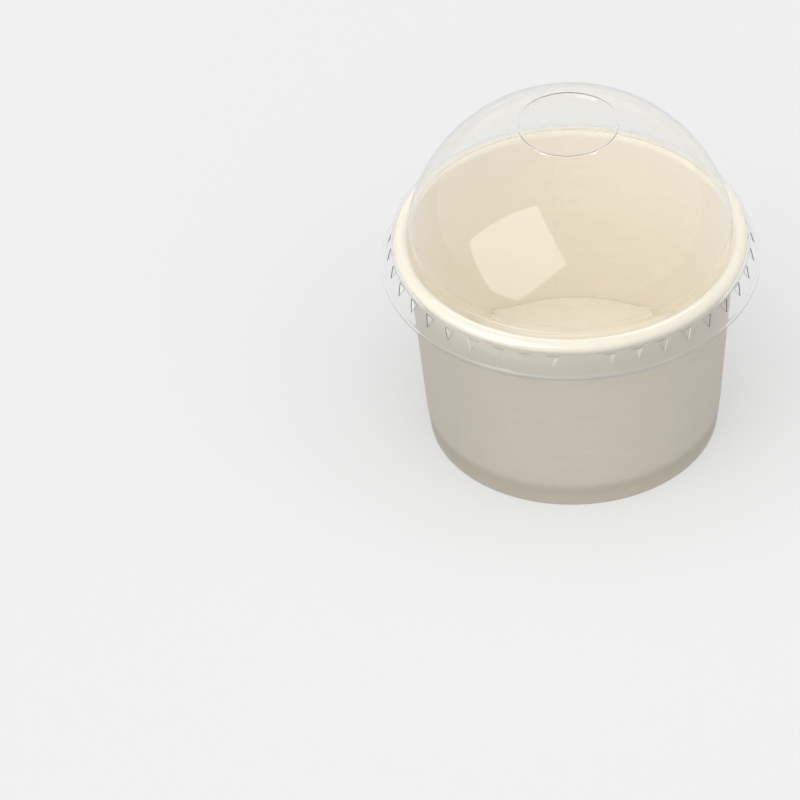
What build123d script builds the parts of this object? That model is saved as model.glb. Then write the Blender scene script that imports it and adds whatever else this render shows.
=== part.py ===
"""Paper dessert cup with a clear dome lid. Millimetres, +Z up, origin at the centre of the foot."""
from build123d import *
from math import acos, asin, atan2, cos, degrees, radians, sin, tan
import os

# ---- cup ----
rim_outer_radius = 47.5        # outside of the rolled rim
rim_height = 62.4              # top of the rolled rim
curl_diameter = 3.7            # outside of the roll
curl_turn = 300.0              # how far the sheet rolls round, degrees
foot_radius = 39.0             # outside of the foot
foot_taper = 7.6               # lean of the pressed zone round the base, degrees
crease_height = 8.0            # where that zone ends and the wall gets steeper
crease_bend = 6.0              # radius of that soft crease
wall_sheet = 0.45              # paperboard of the wall
base_sheet = 0.40              # paperboard of the base
glue_gap = 0.02                # left between glued sheets
fold_bend = 0.30               # the two bends under the foot, on the sheet's middle line
hem_height = 7.2               # how far the folded hem comes up inside the foot
floor_height = 8.6             # the cup's inner floor
base_corner = 0.55             # bend at the edge of the base, on its middle line
flange_end = 0.95              # lower edge of the base's turned-down flange
lap_width = 6.5                # side seam, one edge of the sheet over the other
lap_rise = 0.12                # what the pressed seam stands out
lap_blend = 3.0                # ramp beside the seam
lap_angle = 96.0               # where the seam is, degrees from +X towards +Y
lap_foot = 1.0                 # where the raised seam starts
lap_curl_turn = 215.0          # how far it can be followed round the rim, degrees
lap_fade = 0.02                # from a ramp's thin end to the face that it runs into

# ---- lid ----
lid_sheet = 0.30               # formed plastic sheet
dome_arc = 43.95               # radius of the dome's section
dome_arc_offset = 0.65         # centre of that arc, out from the axis
dome_arc_height = 57.64        # centre of that arc, above the foot
neck_radius = 43.45            # outside of the upright neck below the dome
neck_blend = 8.0               # arc between dome and neck
neck_foot = 1.0                # hollow corner between neck and flange
crown_edge_radius = 13.95      # where the dome drops into the sunk crown
crown_slope = 50.0             # steepness of the crown's edge, degrees
crown_riser = 0.55             # straight part of that edge
crown_lip_arc = 0.65           # rounded top of that edge
crown_floor_arc = 0.35         # rounded foot of that edge
flange_height = 63.2           # top of the flange over the rim
shoulder_wrap = 14.0           # degrees that the shoulder goes on in under the rim
skirt_corner = 0.6             # hollow corner below the shoulder
skirt_flare = 18.5             # degrees that the skirt leans out
skirt_bottom = 53.3            # lowest edge of the lid
lip_corner = 0.45              # hollow corner at the skirt's lip
lip_width = 0.4                # flat part of the lip
open_below = 1.0               # how far the hollow is cut past the lid's lower edge

# ---- lugs in the lid's skirt ----
lug_places = 40                # places round the skirt; the front one has no lug
lug_front = -87.3              # direction of the front place, degrees from +X towards +Y
lug_top = 59.2                 # upper edge
lug_tip = 56.0                 # lower point
lug_width = 3.4                # across the upper edge
lug_apex_radius = 47.75        # innermost point, just clear of the rim
lug_apex_height = 58.0
lug_reach = 3.0                # size of the tool that forms one lug

# ---- worked out ----
curl_arc = (curl_diameter - wall_sheet) / 2
curl_centre = Vector(rim_outer_radius - curl_diameter / 2, rim_height - curl_diameter / 2)
flange_inset = (wall_sheet + base_sheet) / 2 + glue_gap
bend_centre = Vector(foot_radius - fold_bend - wall_sheet / 2, fold_bend + wall_sheet / 2)
foot_lean = radians(foot_taper)
foot_up = Vector(sin(foot_lean), cos(foot_lean))
foot_out = Vector(cos(foot_lean), -sin(foot_lean))
wall_foot = bend_centre + foot_out * fold_bend
foot_length = (crease_height - wall_foot.Y) / cos(foot_lean)
crease_centre = wall_foot + foot_up * foot_length - foot_out * crease_bend
crease_to_curl = curl_centre - crease_centre
arcs_apart = asin((curl_arc + crease_bend) / crease_to_curl.length)
wall_lean = atan2(crease_to_curl.X, crease_to_curl.Y) - arcs_apart
wall_up = Vector(sin(wall_lean), cos(wall_lean))
wall_length = crease_to_curl.dot(wall_up)
crease_turn = degrees(foot_lean - wall_lean)
shoulder_arc = flange_height - curl_centre.Y
wrap = radians(shoulder_wrap)
flare = radians(skirt_flare)
hollow_centre = curl_centre + Vector(cos(wrap), -sin(wrap)) * (shoulder_arc + skirt_corner)
skirt_top = hollow_centre - Vector(cos(flare), sin(flare)) * skirt_corner


def walk(start, heading, steps, inset):
    """Edges of one side of a bent sheet, inset to the left of its path.

    A step is ("line", length) or ("arc", radius, turn in degrees), where a positive turn goes left.
    """
    point = start + Vector(-heading.Y, heading.X) * inset
    edges = []
    for step in steps:
        if step[0] == "line":
            edge = Line(point, point + heading * step[1])
        elif step[2] > 0:
            edge = JernArc(point, heading, step[1] - inset, step[2])
        else:
            edge = JernArc(point, heading, step[1] + inset, step[2])
        edges.append(edge)
        point = edge @ 1
        heading = edge % 1
    return edges


def sheet_face(path, low, high):
    """Upright section of a sheet between two insets of one path."""
    near = walk(*path, low)
    far = walk(*path, high)
    caps = [Line(near[0] @ 0, far[0] @ 0), Line(near[-1] @ 1, far[-1] @ 1)]
    return Plane.XZ * make_face(near + far + caps)


def turned(face, turn=360.0):
    """Solid that a section sweeps about the cup's axis."""
    return revolve(face, Axis.Z, turn)


def wall_path():
    """Middle of the wall sheet: down the hem, under the foot, up past the crease and round the rim."""
    fold_flat = 2 * (flange_inset - fold_bend) / cos(foot_lean)
    hem_foot = wall_foot - foot_out * 2 * fold_bend - Vector(fold_flat, 0)
    hem_length = (hem_height - hem_foot.Y) / cos(foot_lean)
    steps = [
        ("line", hem_length),
        ("arc", fold_bend, 90.0 + foot_taper),
        ("line", fold_flat),
        ("arc", fold_bend, 90.0 - foot_taper),
        ("line", foot_length),
        ("arc", crease_bend, crease_turn),
        ("line", wall_length),
        ("arc", curl_arc, -curl_turn),
    ]
    return hem_foot + foot_up * hem_length, -foot_up, steps


def lap_path():
    """Middle of the wall sheet where the side seam shows: up the wall and over the rim."""
    rise = (lap_foot - wall_foot.Y) / cos(foot_lean)
    steps = [
        ("line", foot_length - rise),
        ("arc", crease_bend, crease_turn),
        ("line", wall_length),
        ("arc", curl_arc, -lap_curl_turn),
    ]
    return wall_foot + foot_up * rise, foot_up, steps


def ramp(path, thick_end, thin_end, turn):
    """Wedge round the axis between two sections given by their insets."""
    first = sheet_face(path, *thick_end)
    last = Rot(0, 0, turn) * sheet_face(path, *thin_end)
    return loft([first, last], ruled=True)


def cup_wall():
    """Rolled blank with its lapped side seam, curled rim and folded hem."""
    skin = wall_sheet / 2
    outer_edge = (-skin - lap_rise, -skin + lap_rise)
    outer_fade = (-skin + lap_fade, -skin + lap_rise)
    inner_edge = (skin - lap_rise, skin + lap_rise)
    inner_fade = (skin + lap_fade, skin + lap_rise)
    lap_turn = degrees(lap_width / foot_radius)
    blend_turn = degrees(lap_blend / foot_radius)
    wall = turned(sheet_face(wall_path(), -skin, skin))
    lap = turned(sheet_face(lap_path(), *outer_edge), lap_turn)
    outer_ramp = ramp(lap_path(), outer_edge, outer_fade, -blend_turn)
    inner_step = ramp(lap_path(), inner_edge, inner_fade, -blend_turn)
    seam = Rot(0, 0, lap_angle)
    return wall + seam * lap + seam * outer_ramp - seam * inner_step


def cup_base():
    """Round base with its edge turned down between the wall and the hem."""
    middle = floor_height - base_sheet / 2
    flange_top = middle - base_corner * (1 + sin(foot_lean))
    flange_line = wall_foot.X + (flange_top - wall_foot.Y) * tan(foot_lean) - flange_inset / cos(foot_lean)
    disc_radius = flange_line - base_corner * cos(foot_lean)
    flange_length = (flange_top - flange_end) / cos(foot_lean)
    steps = [
        ("line", disc_radius),
        ("arc", base_corner, -90.0 - foot_taper),
        ("line", flange_length),
    ]
    path = (Vector(0, middle), Vector(1, 0), steps)
    return turned(sheet_face(path, -base_sheet / 2, base_sheet / 2))


def lid_path():
    """Outer surface of the lid, from the middle of the crown to the lip of the skirt."""
    edge_rise = acos((crown_edge_radius - dome_arc_offset) / dome_arc)
    neck_rise = acos(1 - (dome_arc + dome_arc_offset - neck_radius) / (dome_arc - neck_blend))
    crown_turn = crown_slope + 90.0 - degrees(edge_rise)
    dome_turn = degrees(edge_rise - neck_rise)
    crown_steps = [
        ("arc", crown_floor_arc, crown_slope),
        ("line", crown_riser),
        ("arc", crown_lip_arc, -crown_turn),
    ]
    climb = walk(Vector(0, 0), Vector(1, 0), crown_steps, 0)[-1] @ 1
    edge = Vector(dome_arc_offset + dome_arc * cos(edge_rise), dome_arc_height + dome_arc * sin(edge_rise))
    neck_top = dome_arc_height + (dome_arc - neck_blend) * sin(neck_rise)
    neck_length = neck_top - flange_height - neck_foot
    flange_width = curl_centre.X - neck_radius - neck_foot
    skirt_end = skirt_bottom + lid_sheet + lip_corner * (1 - sin(flare))
    steps = [
        ("line", edge.X - climb.X),
        *crown_steps,
        ("arc", dome_arc, -dome_turn),
        ("arc", neck_blend, -degrees(neck_rise)),
        ("line", neck_length),
        ("arc", neck_foot, 90.0),
        ("line", flange_width),
        ("arc", shoulder_arc, -90.0 - shoulder_wrap),
        ("arc", skirt_corner, shoulder_wrap + skirt_flare),
        ("line", (skirt_top.Y - skirt_end) / cos(flare)),
        ("arc", lip_corner, 90.0 - skirt_flare),
        ("line", lip_width),
    ]
    return Vector(0, edge.Y - climb.Y), Vector(1, 0), steps


def filled(path, inset, floor):
    """Solid under one side of the lid's sheet, down to a level floor."""
    edges = walk(*path, inset)
    start = edges[0] @ 0
    end = edges[-1] @ 1
    below_end = Vector(end.X, floor)
    below_start = Vector(0, floor)
    closing = [Line(end, below_end), Line(below_end, below_start), Line(below_start, start)]
    return turned(Plane.XZ * make_face(edges + closing))


def skirt_inside(height):
    """Radius of the skirt's inner face at a height."""
    return skirt_top.X + (skirt_top.Y - height) * tan(flare) - lid_sheet / cos(flare)


def lug_space(depth):
    """Space on the outside of one lug's three faces, with the faces moved outwards by depth."""
    apex = Vector(lug_apex_radius, 0, lug_apex_height)
    left = Vector(skirt_inside(lug_top), -lug_width / 2, lug_top)
    right = Vector(skirt_inside(lug_top), lug_width / 2, lug_top)
    tip = Vector(skirt_inside(lug_tip), 0, lug_tip)
    block = Box(2 * lug_reach, 2 * lug_reach, 4 * lug_reach)
    space = Pos(lug_apex_radius + lug_reach / 2, 0, lug_apex_height) * block
    for first, second in ((left, right), (right, tip), (tip, left)):
        normal = (first - apex).cross(second - apex).normalized()
        if normal.X < 0:
            normal = -normal
        face = Plane(origin=apex + normal * depth, z_dir=normal)
        space = split(space, bisect_by=face, keep=Keep.TOP)
    return space


def dome_lid():
    """Formed sheet: sunk crown, dome, flange over the rim and flared skirt with its row of lugs."""
    path = lid_path()
    pitch = 360.0 / lug_places
    places = [Rot(0, 0, lug_front + pitch * place) for place in range(1, lug_places)]
    dents = [place * lug_space(lid_sheet) for place in places]
    bumps = [place * lug_space(0) for place in places]
    outside = filled(path, 0, skirt_bottom) - dents
    hollow = filled(path, -lid_sheet, skirt_bottom - open_below) - bumps
    return outside - hollow


def main():
    os.makedirs("parts", exist_ok=True)
    for build in (cup_wall, cup_base, dome_lid):
        part = build()
        export_step(part, f"parts/{build.__name__}.step")
        box = part.bounding_box()
        print(build.__name__, round(part.volume, 1), box.min, box.max, part.is_valid)


main()
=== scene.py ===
"""Looks of the paper dessert cup with a clear dome lid. Metres, +Z up, front towards -Y."""
import math

import bpy
from mathutils import Matrix, Vector


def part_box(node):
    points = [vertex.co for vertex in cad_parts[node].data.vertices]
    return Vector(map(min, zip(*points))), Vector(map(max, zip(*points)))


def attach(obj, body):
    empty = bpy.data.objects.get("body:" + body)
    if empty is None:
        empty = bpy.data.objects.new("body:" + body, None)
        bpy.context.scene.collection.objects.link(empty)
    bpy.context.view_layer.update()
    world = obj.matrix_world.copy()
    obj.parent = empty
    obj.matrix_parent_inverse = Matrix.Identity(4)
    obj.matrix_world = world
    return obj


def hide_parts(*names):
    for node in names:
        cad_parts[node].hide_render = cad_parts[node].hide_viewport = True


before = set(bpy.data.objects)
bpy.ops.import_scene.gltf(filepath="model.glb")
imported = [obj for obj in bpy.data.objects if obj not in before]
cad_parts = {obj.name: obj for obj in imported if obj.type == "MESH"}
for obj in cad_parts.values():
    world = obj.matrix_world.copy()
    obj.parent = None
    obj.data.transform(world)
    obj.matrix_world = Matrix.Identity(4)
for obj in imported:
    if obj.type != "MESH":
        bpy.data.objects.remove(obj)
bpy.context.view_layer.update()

# ---- camera ----
CAMERA_ELEVATION = 38.71       # degrees above the horizon
CAMERA_DISTANCE = 2.644        # from the middle of the rim
CAMERA_TURN = 1.31             # degrees that the view is turned left of the cup
CAMERA_TILT = -0.94            # degrees that it is tilted below the rim
CAMERA_ROLL = -1.96            # degrees clockwise
CAMERA_LENS = 443.8            # mm, on a 36 mm sensor
CAMERA_CLIP = (0.1, 20.0)

# ---- light ----
LIGHT_STRONG = 2.30            # what the surroundings shed from their bright side
LIGHT_WEAK = 0.10              # and from the rest
LIGHT_FALLOFF = 2.0            # power of the cosine between the two
LIGHT_AXIS = (0.0, -0.30, 0.95)  # towards the bright side: above, a little to the front
KEY_DIRECTION = (-38.0, 58.0)  # degrees: left of the camera, above the horizon
KEY_DISTANCE = 1.2
KEY_SIZE = (0.70, 0.70)
KEY_POWER = 1.3
CARD_DIRECTION = (-44.0, 26.0)  # large white card that the dome reflects
CARD_DISTANCE = 1.1
CARD_SIZE = (1.05, 1.21)
CARD_ROLL = -36.0              # degrees in its own plane
CARD_POWER = 5.0
REAR_DIRECTION = (180.0, 60.0)  # card behind the cup, seen only in reflections and through the lid
REAR_DISTANCE = 1.2
REAR_SIZE = (0.60, 0.40)
REAR_POWER = 2.2
FLOOR_GLOW = 0.42              # share of plain white in the floor, where it is looked at
FLOOR_HALF = 3.0               # from its middle to its edge

# ---- lid, metres; the same shape as its CAD node ----
SHEET = 0.00030                # formed plastic
DOME_ARC = 0.04395             # radius of the dome's section
DOME_ARC_OFFSET = 0.00065      # centre of that arc, out from the axis
DOME_ARC_HEIGHT = 0.05764      # and above the foot
NECK_RADIUS = 0.04345
NECK_BLEND = 0.008             # arc between dome and neck
NECK_FOOT = 0.0010             # hollow corner on the flange
CROWN_EDGE = 0.01395           # radius where the dome drops into the crown
CROWN_SLOPE = 50.0             # degrees
CROWN_RISER = 0.00055
CROWN_LIP_ARC = 0.00065
CROWN_FLOOR_ARC = 0.00035
FLANGE_HEIGHT = 0.0632
SHOULDER_CENTRE = (0.04565, 0.06055)
SHOULDER_WRAP = 14.0           # degrees that the shoulder goes on in under the rim
SKIRT_CORNER = 0.0006
SKIRT_FLARE = 18.5             # degrees
SKIRT_BOTTOM = 0.0533
LIP_CORNER = 0.00045
LIP_WIDTH = 0.0004
LUG_PLACES = 40                # the front place has no lug
LUG_PITCH = 2 * math.pi / LUG_PLACES
LUG_FRONT = -87.3              # direction of the front place, degrees from +X
LUG_TOP = 0.0592
LUG_TIP = 0.0560
LUG_WIDTH = 0.0034
LUG_TIP_WIDTH = 0.0003         # the lug's columns stay this far apart below it
LUG_APEX = (0.04775, 0.0580)   # innermost point
SHARP_BEND = 14.0              # degrees; a fold this sharp isn't shaded smooth

# ---- faces of the lid's mesh ----
LUG_COLUMNS = 6                # across a lug
GAP_COLUMNS = 4                # between two lugs
LUG_ROWS = 6                   # from a lug's innermost point down to its tip
SKIRT_ROWS = 4                 # from the tip down to the lip's corner
CROWN_ROWS = 5                 # across the flat of the crown, from its middle
CROWN_FLOOR_ROWS = 6
CROWN_LIP_ROWS = 9
DOME_ROWS = 34
NECK_BLEND_ROWS = 8
NECK_ROWS = 2
NECK_FOOT_ROWS = 9
FLANGE_ROWS = 2
SHOULDER_ROWS = 13
SKIRT_CORNER_ROWS = 5
LIP_CORNER_ROWS = 7

# ---- crease round the foot, and the painted shade in a band below it ----
CREASE_HEIGHT = 0.0085
FOOT_PAINTED_SHADE_TONES = ((0.0, 0.25), (0.38, 0.75), (0.6, 0.0))  # place on the ramp and tone, up to the crease

# ---- surfaces; a noise is its stretch along Z, scale and detail ----
NOISE_ROUGHNESS = 0.62
PAPER_ROUGHNESS = 0.46
PAPER_SPECULAR = 0.36
PAPER_COAT = 0.06
PAPER_COAT_ROUGHNESS = 0.30
BROAD_FIBRES = (5.0, 110.0, 3.0)
FINE_FIBRES = (4.0, 800.0, 4.0)
FINE_SHARE = 0.60
FIBRE_RANGE = (0.30, 0.66)     # noise that gives the shade and the light colour in full
PAPER_BUMP = (0.10, 0.0004)    # strength and height
PLASTIC_IOR = 1.57
SCUFFS = (1.0, 420.0, 5.0)
SCUFF_RANGE = (0.55, 0.80)     # noise from which the sheet dulls, and at which it is dullest
SCUFF_ROUGHNESS = (0.015, 0.06)
SHEET_WAVES = (0.6, 38.0, 1.0)
SHEET_BUMP = (0.12, 0.00006)
EDGE_ROUGHNESS = 0.45
EDGE_TRANSMISSION = 0.35
EDGE_GRAIN = (1.0, 2500.0, 2.0)
EDGE_BUMP = (0.2, 0.0001)

# ---- colours, linear ----
PAPER_LIGHT = (0.900, 0.832, 0.712, 1.0)
PAPER_SHADE = (0.842, 0.768, 0.645, 1.0)
# painted shade: grey that darkens the paper in a band round the foot
FOOT_PAINTED_SHADE = (0.80, 0.785, 0.76, 1.0)
PLASTIC_TINT = (0.96, 0.965, 0.96, 1.0)
EDGE_COLOUR = (0.86, 0.86, 0.85, 1.0)
FLOOR_COLOUR = (0.65, 0.65, 0.65, 1.0)
FLOOR_SHED = (0.22, 0.22, 0.22, 1.0)


def direction(azimuth, elevation):
    """Unit vector from the object; azimuth 0 is the front and positive is to the right."""
    a, e = math.radians(azimuth), math.radians(elevation)
    return Vector((math.sin(a) * math.cos(e), -math.cos(a) * math.cos(e), math.sin(e)))


def empty_material(name):
    """New material with its tree and output node."""
    material = bpy.data.materials.new(name)
    material.use_nodes = True
    tree = material.node_tree
    tree.nodes.clear()
    output = tree.nodes.new("ShaderNodeOutputMaterial")
    return material, tree, output


def add_node(tree, kind, **values):
    """New node with its properties or unlinked inputs set."""
    node = tree.nodes.new(kind)
    for key, value in values.items():
        if hasattr(node, key):
            setattr(node, key, value)
        else:
            node.inputs[key.replace("_", " ")].default_value = value
    return node


def streaks(tree, stretch, scale, detail):
    """Noise pressed together along Z by a stretch above 1, so that it runs round the cup."""
    place = add_node(tree, "ShaderNodeTexCoord")
    mapping = add_node(tree, "ShaderNodeMapping")
    mapping.inputs["Scale"].default_value = (1.0, 1.0, stretch)
    noise = add_node(tree, "ShaderNodeTexNoise", Scale=scale, Detail=detail, Roughness=NOISE_ROUGHNESS)
    tree.links.new(place.outputs["Object"], mapping.inputs["Vector"])
    tree.links.new(mapping.outputs["Vector"], noise.inputs["Vector"])
    return noise.outputs["Fac"]


def add_bump(tree, shader, height, bump_size):
    """Bumps on a shader from a height, with their strength and size."""
    strength, distance = bump_size
    bump = add_node(tree, "ShaderNodeBump", Strength=strength, Distance=distance)
    tree.links.new(height, bump.inputs["Height"])
    tree.links.new(bump.outputs["Normal"], shader.inputs["Normal"])


def foot_painted_shade_mask(tree):
    """Mask of the painted shade in the band where the wall is pressed against the base: strongest below
    the crease, and 0 above it.
    """
    place = add_node(tree, "ShaderNodeTexCoord")
    split = add_node(tree, "ShaderNodeSeparateXYZ")
    ramp = add_node(tree, "ShaderNodeValToRGB")
    ramp.color_ramp.interpolation = "EASE"
    height = add_node(tree, "ShaderNodeMath", operation="DIVIDE")
    height.inputs[1].default_value = CREASE_HEIGHT / FOOT_PAINTED_SHADE_TONES[-1][0]
    ramp.color_ramp.elements.new(FOOT_PAINTED_SHADE_TONES[1][0])
    for element, (position, value) in zip(ramp.color_ramp.elements, FOOT_PAINTED_SHADE_TONES):
        element.position = position
        element.color = (value, value, value, 1.0)
    tree.links.new(place.outputs["Object"], split.inputs["Vector"])
    tree.links.new(split.outputs["Z"], height.inputs[0])
    tree.links.new(height.outputs[0], ramp.inputs["Fac"])
    return ramp.outputs["Color"]


def paper_material(name, light, shade):
    """Coated paperboard: cream, with faint level fibre streaks, a soft sheen and a painted shade in a band
    round the foot.
    """
    material, tree, output = empty_material(name)
    shader = add_node(tree, "ShaderNodeBsdfPrincipled", Roughness=PAPER_ROUGHNESS)
    shader.inputs["Specular IOR Level"].default_value = PAPER_SPECULAR
    shader.inputs["Coat Weight"].default_value = PAPER_COAT
    shader.inputs["Coat Roughness"].default_value = PAPER_COAT_ROUGHNESS
    broad = streaks(tree, *BROAD_FIBRES)
    fine = streaks(tree, *FINE_FIBRES)
    blend = add_node(tree, "ShaderNodeMix", data_type="FLOAT")
    blend.inputs[0].default_value = FINE_SHARE
    tree.links.new(broad, blend.inputs[2])
    tree.links.new(fine, blend.inputs[3])
    ramp = add_node(tree, "ShaderNodeValToRGB")
    for element, position, colour in zip(ramp.color_ramp.elements, FIBRE_RANGE, (shade, light)):
        element.position = position
        element.color = colour
    tree.links.new(blend.outputs[0], ramp.inputs["Fac"])
    # painted shade: the paper is darkened in a band round the foot, where shade falls
    painted_foot_shade = add_node(tree, "ShaderNodeMix", data_type="RGBA", blend_type="MULTIPLY")
    painted_foot_shade.inputs[7].default_value = FOOT_PAINTED_SHADE
    tree.links.new(foot_painted_shade_mask(tree), painted_foot_shade.inputs[0])
    tree.links.new(ramp.outputs["Color"], painted_foot_shade.inputs[6])
    tree.links.new(painted_foot_shade.outputs[2], shader.inputs["Base Color"])
    add_bump(tree, shader, blend.outputs[0], PAPER_BUMP)
    tree.links.new(shader.outputs["BSDF"], output.inputs["Surface"])
    return material


def clear_plastic_material():
    """Thin clear sheet; rays from the lamps pass straight through it."""
    material, tree, output = empty_material("clear_plastic")
    shader = add_node(tree, "ShaderNodeBsdfPrincipled", Base_Color=PLASTIC_TINT, IOR=PLASTIC_IOR)
    shader.inputs["Transmission Weight"].default_value = 1.0
    dull = add_node(tree, "ShaderNodeMapRange")
    dull.inputs["From Min"].default_value, dull.inputs["From Max"].default_value = SCUFF_RANGE
    dull.inputs["To Min"].default_value, dull.inputs["To Max"].default_value = SCUFF_ROUGHNESS
    tree.links.new(streaks(tree, *SCUFFS), dull.inputs["Value"])
    tree.links.new(dull.outputs["Result"], shader.inputs["Roughness"])
    add_bump(tree, shader, streaks(tree, *SHEET_WAVES), SHEET_BUMP)
    passing = add_node(tree, "ShaderNodeBsdfTransparent", Color=PLASTIC_TINT)
    path = add_node(tree, "ShaderNodeLightPath")
    mix = add_node(tree, "ShaderNodeMixShader")
    tree.links.new(path.outputs["Is Shadow Ray"], mix.inputs["Fac"])
    tree.links.new(shader.outputs["BSDF"], mix.inputs[1])
    tree.links.new(passing.outputs["BSDF"], mix.inputs[2])
    tree.links.new(mix.outputs["Shader"], output.inputs["Surface"])
    return material


def path_points(start, steps):
    """Points and outward normals along a bent sheet's outer side in the upright plane.

    A step is ("line", length, shares of it where points lie) or ("arc", radius, turn, faces). Turns are in
    degrees, and positive to the left.
    """
    point, angle = Vector(start), 0.0
    rows = [(point.copy(), angle)]
    for kind, size, *rest in steps:
        if kind == "line":
            heading = Vector((math.cos(angle), math.sin(angle)))
            for share in rest[0]:
                rows.append((point + heading * size * share, angle))
            point = rows[-1][0].copy()
        else:
            turn, faces = math.radians(rest[0]), rest[1]
            side = math.copysign(1.0, turn)
            centre = point + Vector((-math.sin(angle), math.cos(angle))) * size * side
            for i in range(1, faces + 1):
                now = angle + turn * i / faces
                rows.append((centre + Vector((math.sin(now), -math.cos(now))) * size * side, now))
            point, angle = rows[-1][0].copy(), angle + turn
    return [(row, Vector((-math.sin(a), math.cos(a)))) for row, a in rows]


def even(faces):
    """Shares of a line cut into equal faces."""
    return [i / faces for i in range(1, faces + 1)]


def skirt_start():
    """Radius and height on the lid's outer side where the skirt's straight part starts."""
    wrap, flare = math.radians(SHOULDER_WRAP), math.radians(SKIRT_FLARE)
    reach = FLANGE_HEIGHT - SHOULDER_CENTRE[1] + SKIRT_CORNER
    hollow = Vector(SHOULDER_CENTRE) + Vector((math.cos(wrap), -math.sin(wrap))) * reach
    return hollow - Vector((math.cos(flare), math.sin(flare))) * SKIRT_CORNER


def skirt_heights(lower_end):
    """Heights on the skirt's inner side, from the lugs' top edge down, where the mesh has its rows.

    Above a lug's innermost point there is a row wherever one of its two upper folds crosses a column.
    """
    apex = LUG_APEX[1]
    heights = [LUG_TOP]
    for j in range(LUG_COLUMNS // 2 - 1, -1, -1):
        side = j / (LUG_COLUMNS / 2)
        share = (apex - LUG_TIP) * side / (LUG_TOP - LUG_TIP - (LUG_TOP - apex) * side)
        heights.append(apex + (LUG_TOP - apex) * share)
    heights += [apex + (LUG_TIP - apex) * share for share in even(LUG_ROWS)]
    heights += [LUG_TIP + (lower_end - LUG_TIP) * share for share in even(SKIRT_ROWS)]
    return heights


def lid_rows():
    """Outer side of the lid from the middle of the crown to the lip, and its outward normals."""
    edge_rise = math.acos((CROWN_EDGE - DOME_ARC_OFFSET) / DOME_ARC)
    neck_rise = math.acos(1 - (DOME_ARC + DOME_ARC_OFFSET - NECK_RADIUS) / (DOME_ARC - NECK_BLEND))
    crown_turn = CROWN_SLOPE + 90.0 - math.degrees(edge_rise)
    crown = [
        ("arc", CROWN_FLOOR_ARC, CROWN_SLOPE, CROWN_FLOOR_ROWS),
        ("line", CROWN_RISER, even(1)),
        ("arc", CROWN_LIP_ARC, -crown_turn, CROWN_LIP_ROWS),
    ]
    climb = path_points((0, 0), crown)[-1][0]
    edge = Vector((CROWN_EDGE, DOME_ARC_HEIGHT + DOME_ARC * math.sin(edge_rise)))
    neck_top = DOME_ARC_HEIGHT + (DOME_ARC - NECK_BLEND) * math.sin(neck_rise)
    flare = math.radians(SKIRT_FLARE)
    skirt_top = skirt_start().y
    skirt_end = SKIRT_BOTTOM + SHEET + LIP_CORNER * (1 - math.sin(flare))
    inner_top = skirt_top - SHEET * math.sin(flare)
    inner_fall = skirt_top - skirt_end
    heights = skirt_heights(inner_top - inner_fall)
    skirt_shares = [(inner_top - height) / inner_fall for height in heights]
    steps = [
        ("line", edge.x - climb.x, even(CROWN_ROWS)),
        *crown,
        ("arc", DOME_ARC, -math.degrees(edge_rise - neck_rise), DOME_ROWS),
        ("arc", NECK_BLEND, -math.degrees(neck_rise), NECK_BLEND_ROWS),
        ("line", neck_top - FLANGE_HEIGHT - NECK_FOOT, even(NECK_ROWS)),
        ("arc", NECK_FOOT, 90.0, NECK_FOOT_ROWS),
        ("line", SHOULDER_CENTRE[0] - NECK_RADIUS - NECK_FOOT, even(FLANGE_ROWS)),
        ("arc", FLANGE_HEIGHT - SHOULDER_CENTRE[1], -90.0 - SHOULDER_WRAP, SHOULDER_ROWS),
        ("arc", SKIRT_CORNER, SHOULDER_WRAP + SKIRT_FLARE, SKIRT_CORNER_ROWS),
        ("line", inner_fall / math.cos(flare), skirt_shares),
        ("arc", LIP_CORNER, 90.0 - SKIRT_FLARE, LIP_CORNER_ROWS),
        ("line", LIP_WIDTH, even(1)),
    ]
    return path_points((0, edge.y - climb.y), steps)


def skirt_inside(height):
    """Radius of the skirt's inner side at a height."""
    flare = math.radians(SKIRT_FLARE)
    top = skirt_start()
    return top.x + (top.y - height) * math.tan(flare) - SHEET / math.cos(flare)


def lug_faces():
    """Point and normal of the three faces of a lug that points along +X."""
    apex = Vector((LUG_APEX[0], 0, LUG_APEX[1]))
    left = Vector((skirt_inside(LUG_TOP), -LUG_WIDTH / 2, LUG_TOP))
    right = Vector((skirt_inside(LUG_TOP), LUG_WIDTH / 2, LUG_TOP))
    tip = Vector((skirt_inside(LUG_TIP), 0, LUG_TIP))
    return [(apex, (a - apex).cross(b - apex)) for a, b in ((left, right), (right, tip), (tip, left))]


def lug_width_at(height):
    """Half the width that the lug's columns take up at a height."""
    share = (height - LUG_TIP) / (LUG_TOP - LUG_TIP)
    lower = SKIRT_BOTTOM + SHEET
    if share < 0:
        share = LUG_TIP_WIDTH / LUG_WIDTH + (LUG_TIP - height) / (LUG_TIP - lower)
    return max(LUG_TIP_WIDTH, LUG_WIDTH * min(share, 1.0)) / 2


def lid_columns():
    """Place round the lid, and number in that place, of each column of the mesh."""
    return [(place, j) for place in range(LUG_PLACES) for j in range(LUG_COLUMNS + GAP_COLUMNS)]


def column_angle(j, half_angle):
    """Angle of a column from the middle of its lug, which takes up half_angle on each side."""
    if j <= LUG_COLUMNS:
        return half_angle * (2 * j / LUG_COLUMNS - 1)
    return half_angle + (LUG_PITCH - 2 * half_angle) * (j - LUG_COLUMNS) / GAP_COLUMNS


def dent_depth(inner, angle, faces_at_lug):
    """How far out a lug moves the sheet at a point of its inner side: 0, or less where it is pushed in."""
    here = Vector((inner.x * math.cos(angle), inner.x * math.sin(angle), inner.y))
    dent = max(a.x - n.yz.dot(here.yz - a.yz) / n.x for a, n in faces_at_lug)
    return min(0.0, dent - here.x)


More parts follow.
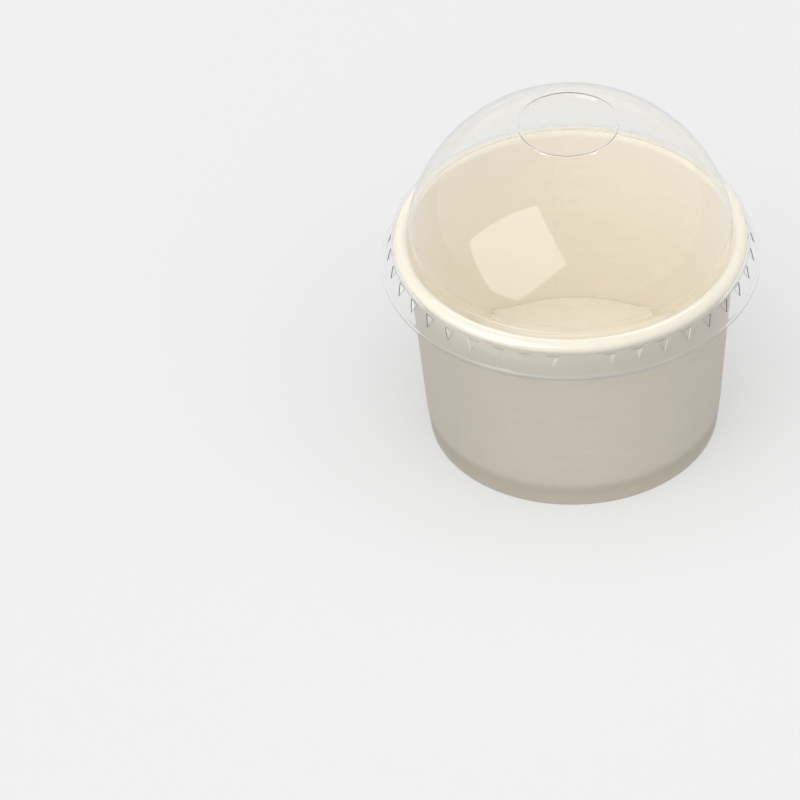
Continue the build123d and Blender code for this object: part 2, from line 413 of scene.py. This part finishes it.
def skin_vertices(rows, side):
    """Vertices of one skin, which lies side metres out from the sheet's outer side."""
    columns = lid_columns()
    faces_at_lug = lug_faces()
    vertices = [Vector((0, 0, rows[0][0].y + side))]
    for point, normal in rows[1:]:
        inner = point - normal * SHEET
        mine = point + normal * side
        on_skirt = inner.x > NECK_RADIUS
        at_lugs = on_skirt and LUG_TIP < inner.y < LUG_TOP
        half_angle = lug_width_at(inner.y) / inner.x if on_skirt else LUG_PITCH / 4
        for place, j in columns:
            angle = column_angle(j, half_angle)
            spot = Vector((mine.x * math.cos(angle), mine.x * math.sin(angle), mine.y))
            if at_lugs and place and j <= LUG_COLUMNS:
                spot.x += dent_depth(inner, angle, faces_at_lug)
            turn = math.radians(LUG_FRONT) + LUG_PITCH * place
            vertices.append(Matrix.Rotation(turn, 3, "Z") @ spot)
    return vertices


def skin_polygons(first, bands):
    """Triangles of one skin from its middle vertex outwards, cut along the folds of the lugs."""
    columns = lid_columns()
    count = len(columns)
    polygons = [(first, first + 1 + k, first + 1 + (k + 1) % count) for k in range(count)]
    for i in range(bands):
        near = first + 1 + i * count
        for k in range(count):
            a, b = near + k, near + (k + 1) % count
            c, d = b + count, a + count
            past_middle = columns[k][1] >= LUG_COLUMNS // 2
            polygons += [(a, d, b), (d, c, b)] if past_middle else [(a, d, c), (a, c, b)]
    return polygons


def lid_mesh():
    """Lid as one closed mesh: two skins on the same rows and columns, joined at the lip."""
    rows = lid_rows()
    bands = len(rows) - 2
    vertices = skin_vertices(rows, 0.0)
    skin = len(vertices)
    vertices += skin_vertices(rows, -SHEET)
    polygons = skin_polygons(0, bands)
    polygons += [polygon[::-1] for polygon in skin_polygons(skin, bands)]
    sides = len(polygons)
    count = len(lid_columns())
    for k in range(count):
        a, b = skin - count + k, skin - count + (k + 1) % count
        polygons.append((a, a + skin, b + skin, b))
    mesh = bpy.data.meshes.new("dome_lid_clear")
    mesh.from_pydata(vertices, [], polygons)
    mesh.shade_smooth()
    mesh.polygons.foreach_set("material_index", [int(i >= sides) for i in range(len(polygons))])
    mesh.set_sharp_from_angle(angle=math.radians(SHARP_BEND))
    return mesh


def add_lid(*materials):
    """Clear lid with smooth skins, in place of the CAD node."""
    lid = bpy.data.objects.new("dome_lid_clear", lid_mesh())
    bpy.context.scene.collection.objects.link(lid)
    for material in materials:
        lid.data.materials.append(material)
    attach(lid, "lid")
    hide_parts("dome_lid")


def cut_edge_material():
    """Trimmed edge of the sheet, which is whitish and rough."""
    material, tree, output = empty_material("cut_edge")
    shader = add_node(tree, "ShaderNodeBsdfPrincipled", Base_Color=EDGE_COLOUR, Roughness=EDGE_ROUGHNESS)
    shader.inputs["IOR"].default_value = PLASTIC_IOR
    shader.inputs["Transmission Weight"].default_value = EDGE_TRANSMISSION
    add_bump(tree, shader, streaks(tree, *EDGE_GRAIN), EDGE_BUMP)
    tree.links.new(shader.outputs["BSDF"], output.inputs["Surface"])
    return material


def dress(node, material):
    """Gives a CAD node its material."""
    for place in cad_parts[node].material_slots:
        place.material = material


def looked_at(tree):
    """1 for what is seen, also in a reflection or through the plastic, and 0 for light on the object."""
    path = add_node(tree, "ShaderNodeLightPath")
    first = add_node(tree, "ShaderNodeMath", operation="MAXIMUM")
    second = add_node(tree, "ShaderNodeMath", operation="MAXIMUM")
    tree.links.new(path.outputs["Is Camera Ray"], first.inputs[0])
    tree.links.new(path.outputs["Is Glossy Ray"], first.inputs[1])
    tree.links.new(first.outputs[0], second.inputs[0])
    tree.links.new(path.outputs["Is Transmission Ray"], second.inputs[1])
    return second.outputs[0]


def add_floor():
    """Level pale floor, much wider than the view."""
    half = FLOOR_HALF
    corners = [(-half, -half, 0), (half, -half, 0), (half, half, 0), (-half, half, 0)]
    mesh = bpy.data.meshes.new("floor")
    mesh.from_pydata(corners, [], [(0, 1, 2, 3)])
    floor = bpy.data.objects.new("floor", mesh)
    bpy.context.scene.collection.objects.link(floor)
    material, tree, output = empty_material("floor")
    shed = add_node(tree, "ShaderNodeBsdfDiffuse", Color=FLOOR_SHED)
    shaded = add_node(tree, "ShaderNodeBsdfDiffuse", Color=FLOOR_COLOUR)
    glow = add_node(tree, "ShaderNodeEmission", Color=(1, 1, 1, 1), Strength=1.0)
    seen = add_node(tree, "ShaderNodeMixShader", Fac=FLOOR_GLOW)
    mix = add_node(tree, "ShaderNodeMixShader")
    tree.links.new(shaded.outputs[0], seen.inputs[1])
    tree.links.new(glow.outputs[0], seen.inputs[2])
    tree.links.new(looked_at(tree), mix.inputs["Fac"])
    tree.links.new(shed.outputs[0], mix.inputs[1])
    tree.links.new(seen.outputs[0], mix.inputs[2])
    tree.links.new(mix.outputs[0], output.inputs["Surface"])
    mesh.materials.append(material)


def add_world():
    """White surroundings to look at, which light the object mostly from above."""
    world = bpy.data.worlds.new("studio")
    world.use_nodes = True
    tree = world.node_tree
    tree.nodes.clear()
    output = tree.nodes.new("ShaderNodeOutputWorld")
    seen = add_node(tree, "ShaderNodeBackground", Color=(1, 1, 1, 1), Strength=1.0)
    shed = add_node(tree, "ShaderNodeBackground", Color=(1, 1, 1, 1))
    place = add_node(tree, "ShaderNodeTexCoord")
    aligned = add_node(tree, "ShaderNodeVectorMath", operation="DOT_PRODUCT")
    aligned.inputs[1].default_value = LIGHT_AXIS
    ahead = add_node(tree, "ShaderNodeMath", operation="MAXIMUM")
    ahead.inputs[1].default_value = 0.0
    steep = add_node(tree, "ShaderNodeMath", operation="POWER")
    steep.inputs[1].default_value = LIGHT_FALLOFF
    level = add_node(tree, "ShaderNodeMapRange")
    level.inputs["To Min"].default_value = LIGHT_WEAK
    level.inputs["To Max"].default_value = LIGHT_STRONG
    mix = add_node(tree, "ShaderNodeMixShader")
    tree.links.new(place.outputs["Generated"], aligned.inputs[0])
    tree.links.new(aligned.outputs["Value"], ahead.inputs[0])
    tree.links.new(ahead.outputs[0], steep.inputs[0])
    tree.links.new(steep.outputs[0], level.inputs["Value"])
    tree.links.new(level.outputs["Result"], shed.inputs["Strength"])
    tree.links.new(looked_at(tree), mix.inputs["Fac"])
    tree.links.new(shed.outputs[0], mix.inputs[1])
    tree.links.new(seen.outputs[0], mix.inputs[2])
    tree.links.new(mix.outputs[0], output.inputs["Surface"])
    bpy.context.scene.world = world


def add_softbox(target, name, aim, distance, size, power, roll=0.0):
    """Rectangular lamp that faces a point, turned in its own plane by roll degrees."""
    lamp = bpy.data.lights.new(name, "AREA")
    lamp.shape = "RECTANGLE"
    lamp.size, lamp.size_y = size
    lamp.energy = power
    holder = bpy.data.objects.new(name, lamp)
    holder.location = target + direction(*aim) * distance
    spin = Matrix.Rotation(math.radians(roll), 3, "Z").to_quaternion()
    holder.rotation_mode = "QUATERNION"
    holder.rotation_quaternion = (-direction(*aim)).to_track_quat("-Z", "Y") @ spin
    bpy.context.scene.collection.objects.link(holder)
    return holder


def add_camera(target):
    """Long lens that looks down at the cup, which stands right of the middle and above it."""
    back = direction(0.0, CAMERA_ELEVATION)
    look = (-back).to_track_quat("-Z", "Y")
    turn = Matrix.Rotation(math.radians(CAMERA_TURN), 3, "Z").to_quaternion()
    tilt = Matrix.Rotation(math.radians(CAMERA_TILT), 3, "X").to_quaternion()
    roll = Matrix.Rotation(math.radians(CAMERA_ROLL), 3, "Z").to_quaternion()
    data = bpy.data.cameras.new("camera")
    data.lens = CAMERA_LENS
    data.clip_start, data.clip_end = CAMERA_CLIP
    camera = bpy.data.objects.new("camera", data)
    camera.location = target + back * CAMERA_DISTANCE
    camera.rotation_mode = "QUATERNION"
    camera.rotation_quaternion = turn @ look @ tilt @ roll
    bpy.context.scene.collection.objects.link(camera)
    bpy.context.scene.camera = camera


rim_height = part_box("cup_wall")[1][2]
middle = Vector((0, 0, rim_height))

dress("cup_wall", paper_material("wall_paper", PAPER_LIGHT, PAPER_SHADE))
dress("cup_base", paper_material("base_paper", PAPER_LIGHT, PAPER_SHADE))
add_lid(clear_plastic_material(), cut_edge_material())

add_floor()
add_world()
key = add_softbox(middle, "key", KEY_DIRECTION, KEY_DISTANCE, KEY_SIZE, KEY_POWER)
key.visible_glossy = False
key.visible_transmission = False
card = add_softbox(middle, "card", CARD_DIRECTION, CARD_DISTANCE, CARD_SIZE, CARD_POWER, CARD_ROLL)
rear = add_softbox(middle, "rear_card", REAR_DIRECTION, REAR_DISTANCE, REAR_SIZE, REAR_POWER)
for white_card in (card, rear):
    white_card.visible_diffuse = False
add_camera(middle)
bpy.context.scene.view_settings.view_transform = "Standard"
